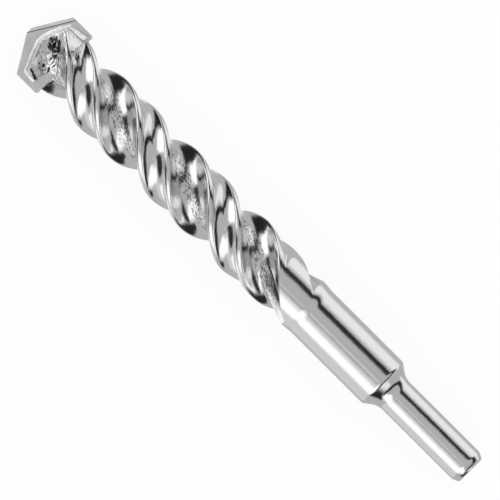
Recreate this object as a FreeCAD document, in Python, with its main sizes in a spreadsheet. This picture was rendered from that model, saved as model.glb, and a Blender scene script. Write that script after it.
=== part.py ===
"""Masonry drill bit: reduced-shank steel body with a four-land twist and a brazed carbide point.

Frame: +X runs along the axis from the shank's end face to the point, +Z is up as the bit
lies, the carbide plate stands in the X-Y plane.  Millimetres.
"""

import FreeCAD, Part
import math
import os

import Sketcher

Vector = FreeCAD.Vector
START, END, CENTRE = range(1, 4)
ORIGIN, AXIS_U, AXIS_V = -START, -START, -END
HALF_TURN = 180

doc = FreeCAD.newDocument("masonry_drill_bit")

# sizes
sheet = doc.addObject("Spreadsheet::Sheet", "sizes")

SIZES = [
    # whole tool
    ("overall_length", 205.0, "shank end face to chisel edge"),
    ("flute_lead", 66.0, "one full turn of the right-hand twist"),
    # turned shank and bar
    ("shank_diameter", 12.7, "half-inch reduced shank"),
    ("shank_chamfer_length", 2.2, "turned lead-in on the shank end"),
    ("shank_chamfer_height", 0.9, "radial height of the lead-in"),
    ("bar_diameter", 19.05, "three-quarter-inch bar left plain behind the flutes"),
    ("shoulder_position", 40.9, "where the bar starts to fall to the shank"),
    ("shoulder_angle", 36.6, "slope of the shoulder against the axis, degrees"),
    ("shoulder_fillet", 6.5, "turned fillet from shoulder to shank"),
    ("shoulder_edge_round", 0.6, "broken corner at the top of the shoulder"),
    # outline over the flutes
    ("land_diameter", 22.2, "over the lands"),
    ("collar_radius", 9.85, "metal pushed up where the wide flutes end"),
    ("collar_position", 77.4, "crest of that rise"),
    ("collar_foot", 74.2, "where the rise meets the plain bar"),
    ("taper_end", 105.0, "where the outline reaches the land diameter"),
    # flutes, angles about the axis in degrees
    ("wide_half_angle", 46.75, "wide flute, half angle between land edges"),
    ("wide_floor", 5.1, "wide flute, axis to the middle of the floor"),
    ("wide_floor_radius", 14.5, "wide flute, curve of the floor"),
    ("narrow_half_angle", 29.15, "narrow flute, half angle between land edges"),
    ("narrow_floor", 8.9, "narrow flute, axis to the middle of the floor"),
    ("narrow_floor_radius", 20.0, "narrow flute, curve of the floor"),
    ("wide_start_angle", 126.5, "wide flute centre against the first land"),
    ("narrow_start_angle", 36.5, "narrow flute centre against the first land"),
    ("land_up_setback", 18.04, "point to the station where the first land faces straight up"),
    ("cutter_radius", 14.0, "outer reach of the flute cutter"),
    ("wide_cut_start", 60.0, "back end of the wide cutter's path"),
    ("narrow_cut_start", 72.0, "back end of the narrow cutter's path"),
    ("cutter_overrun", 1.0, "how far both paths run on past the point"),
    # run-outs
    ("wide_runout_start", 106.0, "wide floor starts to rise towards the shank"),
    ("wide_runout_radius", 80.0, "curve of that rise"),
    ("narrow_runout_start", 99.5, "narrow floor starts to rise towards the shank"),
    ("narrow_runout_radius", 24.0, "curve of that rise"),
    ("head_runout_setback", 24.0, "point to where the narrow floor starts to rise to the head"),
    ("head_runout_radius", 10.0, "curve of that rise"),
    ("plug_radius", 12.6, "reach of the metal left in at the run-outs"),
    ("runout_sink", 0.25, "how far below the floor each run-out curve begins"),
    ("runout_depth", 5.0, "how far the metal left in reaches behind the wide cut"),
    ("stock_overrun", 3.0, "how far the metal left in reaches past the point"),
    ("seam_angle", 45.0, "where the turned surfaces close on themselves, degrees"),
    # head
    ("head_cone_setback", 3.0, "point to the tip of the cone ground on the steel"),
    ("head_cone_angle", 126.0, "full angle of that cone, degrees"),
    # carbide plate
    ("carbide_width", 26.4, "cutting diameter of the tip"),
    ("carbide_thickness", 5.4, "plate thickness"),
    ("carbide_height", 16.5, "plate, point to back edge"),
    ("carbide_rear_chamfer", 0.5, "chamfer on the back corners"),
    ("point_angle", 118.0, "full angle between the cutting edges, degrees"),
    ("relief_angle", 13.5, "clearance behind each cutting edge, degrees"),
    ("braze_gap", 0.15, "silver braze round the plate"),
    ("slot_reach", 30.0, "half width of the slotting cut, clear of the head"),
]

# stations that follow from the sizes above
STATIONS = [
    ("carbide_rear", "=overall_length - carbide_height", "plate's back edge"),
    ("head_cone_tip", "=overall_length - head_cone_setback", "tip of the steel's cone"),
    ("first_land_up", "=overall_length - land_up_setback", "first land faces straight up"),
    ("head_runout_start", "=overall_length - head_runout_setback", "narrow floor starts to rise"),
    ("cut_end", "=overall_length + cutter_overrun", "front end of the cutters' paths"),
    ("stock_length", "=overall_length + stock_overrun", "front end of the metal left in"),
    ("stock_back", "=wide_cut_start - runout_depth", "back end of the metal left in"),
]

for row, (alias, value, note) in enumerate(SIZES + STATIONS, start=1):
    sheet.set("A%d" % row, alias)
    sheet.set("B%d" % row, str(value))
    sheet.setAlias("B%d" % row, alias)
    sheet.set("C%d" % row, note)
doc.recompute()

SIZE = {alias: float(sheet.get(alias)) for alias, _, _ in SIZES + STATIONS}


def role(body, name):
    """Return the body's own origin plane or axis of that role."""
    for feature in body.Origin.OriginFeatures:
        if feature.Role == name:
            return feature
    raise RuntimeError("no " + name)


def sketch_on(body, plane, name):
    """Add an empty sketch on one of the body's origin planes."""
    sketch = body.newObject("Sketcher::SketchObject", name)
    sketch.AttachmentSupport = (role(body, plane), [""])
    sketch.MapMode = "FlatFace"
    return sketch


def fix(sketch, name, expression, *constraint):
    """Add one named dimension and bind it to the sheet."""
    index = sketch.addConstraint(Sketcher.Constraint(*constraint))
    sketch.renameConstraint(index, name)
    sketch.setExpression("Constraints." + name, expression)
    return index


def new_body(label):
    """Add a body that carries its own label."""
    body = doc.addObject("PartDesign::Body", label)
    body.Label = label
    return body


def closed_outline(sketch, points):
    """Draw a closed chain of straight lines, ends joined, and return the line numbers."""
    lines = []
    for here, there in zip(points, points[1:] + points[:1]):
        lines.append(sketch.addGeometry(Part.LineSegment(Vector(*here, 0), Vector(*there, 0)), False))
    for first, second in zip(lines, lines[1:] + lines[:1]):
        sketch.addConstraint(Sketcher.Constraint("Coincident", first, END, second, START))
    return lines


def place_corner(sketch, line, name, along, outward):
    """Tie the start of a line to two expressions, along the axis and away from it."""
    if along is not None:
        fix(sketch, name + "_x", along, "DistanceX", ORIGIN, 1, line, START, 1.0)
    if outward is not None:
        fix(sketch, name + "_r", outward, "DistanceY", ORIGIN, 1, line, START, 1.0)


# flute cutters
def flute_section(body, name, kind):
    """Draw one flute's cutter: two walls, a curved floor and an outer arc."""
    half = math.radians(SIZE[kind + "_half_angle"])
    floor = SIZE[kind + "_floor"]
    curve = SIZE[kind + "_floor_radius"]
    reach = SIZE["cutter_radius"]
    middle = floor + curve
    wall = Vector(-math.sin(half), math.cos(half), 0)
    # the foot of the wall is the nearer point where its line meets the floor's circle
    foot = middle * wall.y - math.sqrt(curve ** 2 - (middle * wall.x) ** 2)
    left_foot = wall * foot
    left_top = wall * reach

    def mirror(point):
        return Vector(-point.x, point.y, 0)

    sketch = sketch_on(body, "YZ_Plane", name)
    left = sketch.addGeometry(Part.LineSegment(left_foot, left_top), False)
    cap = sketch.addGeometry(Part.Arc(left_top, Vector(0, reach, 0), mirror(left_top)), False)
    right = sketch.addGeometry(Part.LineSegment(mirror(left_top), mirror(left_foot)), False)
    base = sketch.addGeometry(
        Part.Arc(mirror(left_foot), Vector(0, floor, 0), left_foot), False)
    return sketch, (left, cap, right, base)


def arc_ends(sketch, number):
    """Return the arc's end numbers ordered left to right."""
    first = sketch.getPoint(number, START)
    second = sketch.getPoint(number, END)
    return (START, END) if first.x < second.x else (END, START)


def constrain_flute(sketch, parts, kind):
    """Tie the cutter's section to the sheet."""
    left, cap, right, base = parts
    cap_left, cap_right = arc_ends(sketch, cap)
    base_left, base_right = arc_ends(sketch, base)
    add = sketch.addConstraint
    add(Sketcher.Constraint("Coincident", left, END, cap, cap_left))
    add(Sketcher.Constraint("Coincident", right, START, cap, cap_right))
    add(Sketcher.Constraint("Coincident", left, START, base, base_left))
    add(Sketcher.Constraint("Coincident", right, END, base, base_right))
    add(Sketcher.Constraint("Coincident", cap, CENTRE, ORIGIN, 1))
    add(Sketcher.Constraint("PointOnObject", ORIGIN, 1, left))
    add(Sketcher.Constraint("PointOnObject", ORIGIN, 1, right))
    add(Sketcher.Constraint("PointOnObject", base, CENTRE, AXIS_V))
    add(Sketcher.Constraint("Horizontal", left, END, right, START))
    fix(sketch, "reach", "sizes.cutter_radius", "Radius", cap, SIZE["cutter_radius"])
    fix(sketch, "curve", "sizes.%s_floor_radius" % kind, "Radius", base, SIZE[kind + "_floor_radius"])
    fix(sketch, "floor", "sizes.%s_floor + sizes.%s_floor_radius" % (kind, kind),
        "DistanceY", ORIGIN, 1, base, CENTRE, SIZE[kind + "_floor"] + SIZE[kind + "_floor_radius"])
    fix(sketch, "spread", "2 * sizes.cutter_radius * sin(sizes.%s_half_angle * 1deg)" % kind,
        "DistanceX", left, END, right, START,
        2 * SIZE["cutter_radius"] * math.sin(math.radians(SIZE[kind + "_half_angle"])))


def flute_cutter(kind, name, turn):
    """Sweep one flute's cutter along the twist; turn is its place round the axis in degrees."""
    begin = "%s_cut_start" % kind
    body = new_body(name)
    section, parts = flute_section(body, name + "_section", kind)
    constrain_flute(section, parts, kind)
    section.setExpression("AttachmentOffset.Base.z", "sizes." + begin)
    section.setExpression(
        "AttachmentOffset.Rotation.Angle",
        "(%d + sizes.%s_start_angle + 360 * (sizes.%s - sizes.first_land_up) / sizes.flute_lead) * 1deg"
        % (turn, kind, begin))
    path = sketch_on(body, "XY_Plane", name + "_path")
    line = path.addGeometry(
        Part.LineSegment(Vector(SIZE[begin], 0, 0), Vector(SIZE["cut_end"], 0, 0)), False)
    path.addConstraint(Sketcher.Constraint("PointOnObject", line, START, AXIS_U))
    path.addConstraint(Sketcher.Constraint("PointOnObject", line, END, AXIS_U))
    fix(path, "begin", "sizes." + begin, "DistanceX", ORIGIN, 1, line, START, SIZE[begin])
    fix(path, "end", "sizes.cut_end", "DistanceX", ORIGIN, 1, line, END, SIZE["cut_end"])
    twist = doc.addObject("Part::Helix", name + "_twist")
    twist.LocalCoord = 0
    twist.setExpression("Pitch", "sizes.flute_lead")
    twist.setExpression("Height", "sizes.cut_end - sizes." + begin)
    twist.setExpression("Radius", "sizes.wide_floor")
    twist.Placement = FreeCAD.Placement(
        Vector(SIZE[begin], 0, 0), FreeCAD.Rotation(Vector(0, 0, 1), Vector(1, 0, 0)))
    twist.setExpression("Placement.Base.x", "sizes." + begin)
    doc.recompute()
    sweep = body.newObject("PartDesign::AdditivePipe", name + "_sweep")
    sweep.Profile = section
    sweep.Spine = (path, ["Edge1"])
    sweep.Mode = "Auxiliary"
    sweep.AuxiliarySpine = (twist, ["Edge1"])
    sweep.AuxiliaryCurvilinear = True
    body.Tip = sweep
    doc.recompute()
    return body


def run_out(name, kind_start, kind_floor, kind_radius, side, kind_far):
    """Shape of the metal that stays where a flute's floor rises out of the cut.

    side is -1 where the floor rises towards the shank and +1 where it rises to the head;
    kind_far names the station where the metal ends, clear of the cut.
    """
    start = SIZE[kind_start]
    far = SIZE[kind_far]
    floor = SIZE[kind_floor] - SIZE["runout_sink"]
    radius = SIZE[kind_radius]
    top = SIZE["plug_radius"]
    run = math.sqrt(radius ** 2 - (radius - (top - floor)) ** 2)
    body = new_body(name)
    sketch = sketch_on(body, "XZ_Plane", name + "_section")
    lift = Vector(start, floor, 0)
    crest = Vector(start + side * run, top, 0)
    half = run / 2
    between = Vector(start + side * half, floor + radius - math.sqrt(radius ** 2 - half ** 2), 0)
    back_top = Vector(far, top, 0)
    back_axis = Vector(far, 0, 0)
    foot = Vector(start, 0, 0)
    rise = sketch.addGeometry(Part.Arc(lift, between, crest), False)
    roof = sketch.addGeometry(Part.LineSegment(crest, back_top), False)
    back = sketch.addGeometry(Part.LineSegment(back_top, back_axis), False)
    axis = sketch.addGeometry(Part.LineSegment(back_axis, foot), False)
    face = sketch.addGeometry(Part.LineSegment(foot, lift), False)
    left, right = arc_ends(sketch, rise)
    lift_end, crest_end = (left, right) if side > 0 else (right, left)
    add = sketch.addConstraint
    add(Sketcher.Constraint("Coincident", roof, START, rise, crest_end))
    add(Sketcher.Constraint("Coincident", roof, END, back, START))
    add(Sketcher.Constraint("Coincident", back, END, axis, START))
    add(Sketcher.Constraint("Coincident", axis, END, face, START))
    add(Sketcher.Constraint("Coincident", face, END, rise, lift_end))
    add(Sketcher.Constraint("Horizontal", roof))
    add(Sketcher.Constraint("Vertical", back))
    add(Sketcher.Constraint("Vertical", face))
    add(Sketcher.Constraint("PointOnObject", axis, START, AXIS_U))
    add(Sketcher.Constraint("PointOnObject", axis, END, AXIS_U))
    add(Sketcher.Constraint("Vertical", rise, CENTRE, face, END))
    fix(sketch, "start", "sizes." + kind_start, "DistanceX", ORIGIN, 1, face, START, start)
    fix(sketch, "floor", "sizes.%s - sizes.runout_sink" % kind_floor, "DistanceY", ORIGIN, 1, face, END, floor)
    fix(sketch, "curve", "sizes." + kind_radius, "Radius", rise, radius)
    fix(sketch, "top", "sizes.plug_radius", "DistanceY", ORIGIN, 1, roof, END, top)
    fix(sketch, "far", "sizes." + kind_far, "DistanceX", ORIGIN, 1, back, END, far)
    left_in = body.newObject("PartDesign::Revolution", name + "_turned")
    left_in.Profile = sketch
    left_in.ReferenceAxis = (role(body, "X_Axis"), [""])
    left_in.Angle = 360
    body.Tip = left_in
    doc.recompute()
    return body


def less(name, base, tool):
    """Cut one shape from another and keep the result as its own object."""
    result = doc.addObject("Part::Cut", name)
    result.Base = base
    result.Tool = tool
    doc.recompute()
    return result


narrow_runout = run_out("narrow_runout", "narrow_runout_start", "narrow_floor",
                        "narrow_runout_radius", -1, "stock_back")
head_runout = run_out("head_runout", "head_runout_start", "narrow_floor",
                      "head_runout_radius", 1, "stock_length")
wide_runout = run_out("wide_runout", "wide_runout_start", "wide_floor",
                      "wide_runout_radius", -1, "stock_back")
tools = []
for kind, trims in (("narrow", (narrow_runout, head_runout)), ("wide", (wide_runout,))):
    tool = flute_cutter(kind, kind + "_flute", 0)
    for trim in trims:
        tool = less(kind + "_less_" + trim.Name, tool, trim)
    opposite = doc.addObject("App::Link", kind + "_flute_opposite")
    opposite.LinkedObject = tool
    opposite.LinkTransform = False
    opposite.Placement = FreeCAD.Placement(
        Vector(0, 0, 0), FreeCAD.Rotation(Vector(1, 0, 0), HALF_TURN))
    tools += [tool, opposite]
flutes = doc.addObject("Part::Compound", "flutes")
flutes.Links = tools
doc.recompute()

# turned outline
REACH = SIZE["slot_reach"]
LAND = SIZE["land_diameter"] / 2
BAR = SIZE["bar_diameter"] / 2
SHANK = SIZE["shank_diameter"] / 2
SLOPE = math.tan(math.radians(SIZE["shoulder_angle"]))
CONE = math.tan(math.radians(SIZE["head_cone_angle"] / 2))
SHOULDER_FOOT = SIZE["shoulder_position"] - (BAR - SHANK) / SLOPE
CONE_BASE = SIZE["head_cone_tip"] - LAND / CONE

envelope = new_body("turned_outline")
outline = sketch_on(envelope, "XZ_Plane", "outline_section")
corners = [
    (0.0, 0.0),
    (0.0, SHANK - SIZE["shank_chamfer_height"]),
    (SIZE["shank_chamfer_length"], SHANK),
    (SHOULDER_FOOT, SHANK),
    (SIZE["shoulder_position"], BAR),
    (SIZE["collar_foot"], BAR),
    (SIZE["collar_position"], SIZE["collar_radius"]),
    (SIZE["taper_end"], LAND),
    (CONE_BASE, LAND),
    (SIZE["head_cone_tip"], 0.0),
]
rim = closed_outline(outline, corners)
outline.addConstraint(Sketcher.Constraint("Coincident", rim[0], START, ORIGIN, 1))
outline.addConstraint(Sketcher.Constraint("Vertical", rim[0]))
outline.addConstraint(Sketcher.Constraint("PointOnObject", rim[9], START, AXIS_U))
place_corner(outline, rim[1], "end", None, "sizes.shank_diameter / 2 - sizes.shank_chamfer_height")
place_corner(outline, rim[2], "lead_in", "sizes.shank_chamfer_length", "sizes.shank_diameter / 2")
place_corner(outline, rim[3], "foot",
             "sizes.shoulder_position - (sizes.bar_diameter - sizes.shank_diameter) / 2"
             " / tan(sizes.shoulder_angle * 1deg)",
             "sizes.shank_diameter / 2")
place_corner(outline, rim[4], "shoulder", "sizes.shoulder_position", "sizes.bar_diameter / 2")
place_corner(outline, rim[5], "collar_foot", "sizes.collar_foot", "sizes.bar_diameter / 2")
place_corner(outline, rim[6], "collar", "sizes.collar_position", "sizes.collar_radius")
place_corner(outline, rim[7], "land", "sizes.taper_end", "sizes.land_diameter / 2")
place_corner(outline, rim[8], "cone",
             "sizes.head_cone_tip - sizes.land_diameter / 2 / tan(sizes.head_cone_angle / 2 * 1deg)",
             "sizes.land_diameter / 2")
place_corner(outline, rim[9], "tip", "sizes.head_cone_tip", None)

turned = envelope.newObject("PartDesign::Revolution", "turned_blank")
turned.Profile = outline
turned.ReferenceAxis = (role(envelope, "X_Axis"), [""])
turned.Angle = 360
doc.recompute()


def ring_edges(feature, station, radius):
    """Name the edges of a turned feature that lie round the axis at one station and radius."""
    found = []
    for number, edge in enumerate(feature.Shape.Edges, start=1):
        box = edge.BoundBox
        flat = abs(box.XMin - station) < 0.01 and abs(box.XMax - station) < 0.01
        if flat and abs(box.ZMax - radius) < 0.01:
            found.append("Edge%d" % number)
    return found


fillet = envelope.newObject("PartDesign::Fillet", "shoulder_fillet")
fillet.Base = (turned, ring_edges(turned, SHOULDER_FOOT, SHANK))
fillet.setExpression("Radius", "sizes.shoulder_fillet")
doc.recompute()
corner = envelope.newObject("PartDesign::Fillet", "shoulder_edge")
corner.Base = (fillet, ring_edges(fillet, SIZE["shoulder_position"], BAR))
corner.setExpression("Radius", "sizes.shoulder_edge_round")
doc.recompute()
envelope.Tip = corner
doc.recompute()

# the turned surface's seam is laid between two lands, where no cut runs along it
envelope.Placement = FreeCAD.Placement(
    Vector(0, 0, 0), FreeCAD.Rotation(Vector(1, 0, 0), SIZE["seam_angle"]))
envelope.setExpression("Placement.Rotation.Angle", "sizes.seam_angle * 1deg")
steel = less("fluted_steel", envelope, flutes)

# plate, slot and braze
HALF = SIZE["carbide_width"] / 2
THICK = SIZE["carbide_thickness"]
POINT = math.tan(math.radians(SIZE["point_angle"] / 2))
RELIEF = math.tan(math.radians(SIZE["relief_angle"]))

plate = new_body("carbide_tip")
face = sketch_on(plate, "XY_Plane", "plate_outline")
top = SIZE["overall_length"] + RELIEF * THICK / 2
plate_corners = [
    (SIZE["carbide_rear"], -HALF),
    (top, -HALF),
    (top, HALF),
    (SIZE["carbide_rear"], HALF),
]
sides = closed_outline(face, plate_corners)
face.addConstraint(Sketcher.Constraint("Horizontal", sides[0]))
face.addConstraint(Sketcher.Constraint("Vertical", sides[1]))
face.addConstraint(Sketcher.Constraint("Horizontal", sides[2]))
face.addConstraint(Sketcher.Constraint("Symmetric", sides[0], START, sides[2], END, AXIS_U))
fix(face, "rear", "sizes.carbide_rear", "DistanceX", ORIGIN, 1, sides[0], START, SIZE["carbide_rear"])
fix(face, "front", "sizes.overall_length + tan(sizes.relief_angle * 1deg) * sizes.carbide_thickness / 2",
    "DistanceX", ORIGIN, 1, sides[0], END, top)
fix(face, "width", "sizes.carbide_width", "DistanceY", sides[1], START, sides[1], END, 2 * HALF)
slab = plate.newObject("PartDesign::Pad", "plate")
slab.Profile = face
slab.SideType = "Symmetric"
slab.setExpression("Length", "sizes.carbide_thickness")
doc.recompute()

back_edges = []
for number, edge in enumerate(slab.Shape.Edges, start=1):
    box = edge.BoundBox
    behind = abs(box.XMax - SIZE["carbide_rear"]) < 0.01
    at_side = abs(abs(box.YMin) - HALF) < 0.01 and abs(box.YMin - box.YMax) < 0.01
    if behind and at_side:
        back_edges.append("Edge%d" % number)
back = plate.newObject("PartDesign::Chamfer", "back_corners")
back.Base = (slab, back_edges)
back.setExpression("Size", "sizes.carbide_rear_chamfer")
doc.recompute()

# one ground flank: everything ahead of a cutting edge, cleared backwards through the plate's
# thickness; the second flank is the first turned half a turn about the axis
flank = sketch_on(plate, "XY_Plane", "flank_outline")
AHEAD = SIZE["overall_length"] + SIZE["slot_reach"]
flank_corners = [
    (SIZE["overall_length"] - HALF * 1.2 / POINT, HALF * 1.2),
    (AHEAD, HALF * 1.2),
    (AHEAD, -HALF * 1.2),
    (SIZE["overall_length"] + HALF * 1.2 / POINT, -HALF * 1.2),
]
wedge = closed_outline(flank, flank_corners)
flank.addConstraint(Sketcher.Constraint("Horizontal", wedge[0]))
flank.addConstraint(Sketcher.Constraint("Symmetric", wedge[1], START, wedge[1], END, AXIS_U))
fix(flank, "side", "sizes.carbide_width * 0.6", "DistanceY", ORIGIN, 1, wedge[0], START, HALF * 1.2)
fix(flank, "ahead", "sizes.overall_length + sizes.slot_reach", "DistanceX", ORIGIN, 1,
    wedge[1], START, AHEAD)
fix(flank, "edge", "sizes.overall_length - sizes.carbide_width * 0.6 / tan(sizes.point_angle / 2 * 1deg)",
    "DistanceX", ORIGIN, 1, wedge[0], START, flank_corners[0][0])
fix(flank, "past", "sizes.overall_length + sizes.carbide_width * 0.6 / tan(sizes.point_angle / 2 * 1deg)",
    "DistanceX", ORIGIN, 1, wedge[3], START, flank_corners[3][0])
flank.addConstraint(Sketcher.Constraint("Horizontal", wedge[2]))
doc.recompute()
ground = plate.newObject("PartDesign::Pocket", "ground_flank")
ground.Profile = flank
ground.SideType = "Symmetric"
ground.UseCustomVector = True
ground.Direction = Vector(RELIEF, 0, 1)
ground.setExpression("Direction.x", "tan(sizes.relief_angle * 1deg)")
ground.AlongSketchNormal = True
ground.setExpression("Length", "4 * sizes.carbide_thickness")
doc.recompute()
both = plate.newObject("PartDesign::PolarPattern", "both_flanks")
both.Originals = [ground]
both.Axis = (role(plate, "X_Axis"), [""])
both.Angle = 360
both.Occurrences = 2
plate.Tip = both
doc.recompute()

cutter = new_body("slot_cutter")
mouth = sketch_on(cutter, "XZ_Plane", "slot_section")
GAP = SIZE["braze_gap"]
slot_corners = [
    (SIZE["carbide_rear"] - GAP, -(THICK / 2 + GAP)),
    (AHEAD, -(THICK / 2 + GAP)),
    (AHEAD, THICK / 2 + GAP),
    (SIZE["carbide_rear"] - GAP, THICK / 2 + GAP),
]
walls = closed_outline(mouth, slot_corners)
mouth.addConstraint(Sketcher.Constraint("Horizontal", walls[0]))
mouth.addConstraint(Sketcher.Constraint("Vertical", walls[1]))
mouth.addConstraint(Sketcher.Constraint("Horizontal", walls[2]))
mouth.addConstraint(Sketcher.Constraint("Symmetric", walls[0], START, walls[2], END, AXIS_U))
fix(mouth, "rear", "sizes.carbide_rear - sizes.braze_gap", "DistanceX", ORIGIN, 1, walls[0], START,
    slot_corners[0][0])
fix(mouth, "ahead", "sizes.overall_length + sizes.slot_reach", "DistanceX", ORIGIN, 1,
    walls[1], START, AHEAD)
fix(mouth, "mouth", "sizes.carbide_thickness + 2 * sizes.braze_gap", "DistanceY",
    walls[1], START, walls[1], END, THICK + 2 * GAP)
slot = cutter.newObject("PartDesign::Pad", "slot")
slot.Profile = mouth
slot.SideType = "Symmetric"
slot.setExpression("Length", "2 * sizes.slot_reach")
doc.recompute()

drill = doc.addObject("Part::Cut", "drill_body")
drill.Base = steel
drill.Tool = cutter
drill.Label = "drill_body"
fill = doc.addObject("Part::Common", "slot_fill")
fill.Base = steel
fill.Tool = cutter
braze = doc.addObject("Part::Cut", "braze_seam")
braze.Base = fill
braze.Tool = plate
braze.Label = "braze_seam"
doc.recompute()

# checks and export
for item in doc.Objects:
    bad = [state for state in item.State if state in ("Invalid", "Error")]
    if bad:
        raise RuntimeError("%s is %s" % (item.Name, bad))
    if item.TypeId == "Sketcher::SketchObject" and item.solve() != 0:
        raise RuntimeError(item.Name + " does not solve")

os.makedirs("parts", exist_ok=True)
for node in (drill, plate, braze):
    shape = node.Shape
    if shape.isNull() or not shape.isValid() or shape.Volume <= 0:
        raise RuntimeError(node.Label + " has no sound shape")
    shape.exportStep("parts/%s.step" % node.Label)
    box = shape.BoundBox
    print("%s  solids %d  faces %d  volume %.1f  x %.2f..%.2f  y %.2f..%.2f  z %.2f..%.2f" % (
        node.Label, len(shape.Solids), len(shape.Faces), shape.Volume,
        box.XMin, box.XMax, box.YMin, box.YMax, box.ZMin, box.ZMax))
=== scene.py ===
"""Masonry drill bit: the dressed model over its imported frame, with its studio and camera.

Metres, in the row's frame: +X from the shank's end face to the point, +Z up as the bit lies.
"""

import logging
import math
from dataclasses import dataclass, field
from enum import Enum
from typing import Callable, Sequence

import bmesh
import bpy
from mathutils import Matrix, Vector, noise

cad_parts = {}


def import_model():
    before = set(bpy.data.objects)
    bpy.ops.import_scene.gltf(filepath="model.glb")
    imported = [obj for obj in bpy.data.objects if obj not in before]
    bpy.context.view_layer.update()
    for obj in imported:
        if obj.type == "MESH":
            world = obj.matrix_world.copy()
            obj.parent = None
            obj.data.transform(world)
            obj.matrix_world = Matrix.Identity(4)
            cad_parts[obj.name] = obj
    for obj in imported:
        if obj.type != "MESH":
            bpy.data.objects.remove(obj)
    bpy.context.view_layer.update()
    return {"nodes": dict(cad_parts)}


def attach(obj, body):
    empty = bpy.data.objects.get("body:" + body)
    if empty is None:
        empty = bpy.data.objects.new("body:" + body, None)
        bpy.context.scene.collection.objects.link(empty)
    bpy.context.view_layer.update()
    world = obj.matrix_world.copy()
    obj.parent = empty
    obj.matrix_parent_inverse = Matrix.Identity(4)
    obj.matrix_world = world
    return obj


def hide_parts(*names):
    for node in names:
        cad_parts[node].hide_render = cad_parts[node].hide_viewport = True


LOG = logging.getLogger("masonry_drill_bit")
MM = 0.001
FULL_TURN = 2 * math.pi


def linear(hex_colour: str) -> tuple[float, float, float, float]:
    """Turn an sRGB hex colour into linear values.

    Args:
        hex_colour: six hex digits, red, green, blue.

    Returns:
        The linear colour with full alpha.
    """
    def channel(text: str) -> float:
        """Turn one two-digit channel into its linear value."""
        value = int(text, 16) / 255
        return value / 12.92 if value <= 0.04045 else ((value + 0.055) / 1.055) ** 2.4
    red, green, blue = (channel(hex_colour[i:i + 2]) for i in (0, 2, 4))
    return red, green, blue, 1.0


def node(tree: bpy.types.NodeTree, kind: str, inputs: dict | None = None, **settings) -> bpy.types.Node:
    """Add one shader node with its settings and links.

    Args:
        tree: the node tree that takes it.
        kind: the node's type name.
        inputs: socket name or number to a value, or to an output socket that is linked in.
        settings: attributes of the node itself.

    Returns:
        The new node.
    """
    made = tree.nodes.new(kind)
    for name, value in settings.items():
        setattr(made, name, value)
    for name, value in (inputs or {}).items():
        if isinstance(value, bpy.types.NodeSocket):
            tree.links.new(value, made.inputs[name])
        else:
            made.inputs[name].default_value = value
    return made


def blank_material(name: str) -> tuple[bpy.types.Material, bpy.types.NodeTree]:
    """Make a material with an empty tree.

    Args:
        name: the material's name.

    Returns:
        The material and its node tree.
    """
    material = bpy.data.materials.new(name)
    material.use_nodes = True
    material.node_tree.nodes.clear()
    return material, material.node_tree


def smooth(low: float, high: float, value: float) -> float:
    """Ease from 0 to 1 as value goes from low to high.

    Args:
        low: where the ease starts.
        high: where it ends.
        value: the number that is eased.

    Returns:
        A number from 0 to 1.
    """
    part = min(1.0, max(0.0, (value - low) / (high - low)))
    return part * part * (3 - 2 * part)


def mix(first: float, second: float, share: float) -> float:
    """Go from first to second by share, 0 to 1."""
    return first + (second - first) * share


def soft_min(first: float, second: float, blend: float) -> float:
    """Return the lesser of two heights, rounded where they meet.

    Args:
        first: one height.
        second: the other.
        blend: how far the rounding reaches.

    Returns:
        The rounded lesser height.
    """
    gap = max(blend - abs(first - second), 0.0) / blend
    return min(first, second) - gap * gap * blend / 4


def track(stations: Sequence[tuple[float, float]], at: float) -> float:
    """Read a smooth line through a few stations.

    Args:
        stations: (place, value) pairs in rising order of place.
        at: the place that is read.

    Returns:
        The value there.
    """
    if at <= stations[0][0]:
        return stations[0][1]
    for (x0, y0), (x1, y1) in zip(stations, stations[1:]):
        if at <= x1:
            return mix(y0, y1, smooth(x0, x1, at))
    return stations[-1][1]


# finishes


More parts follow.
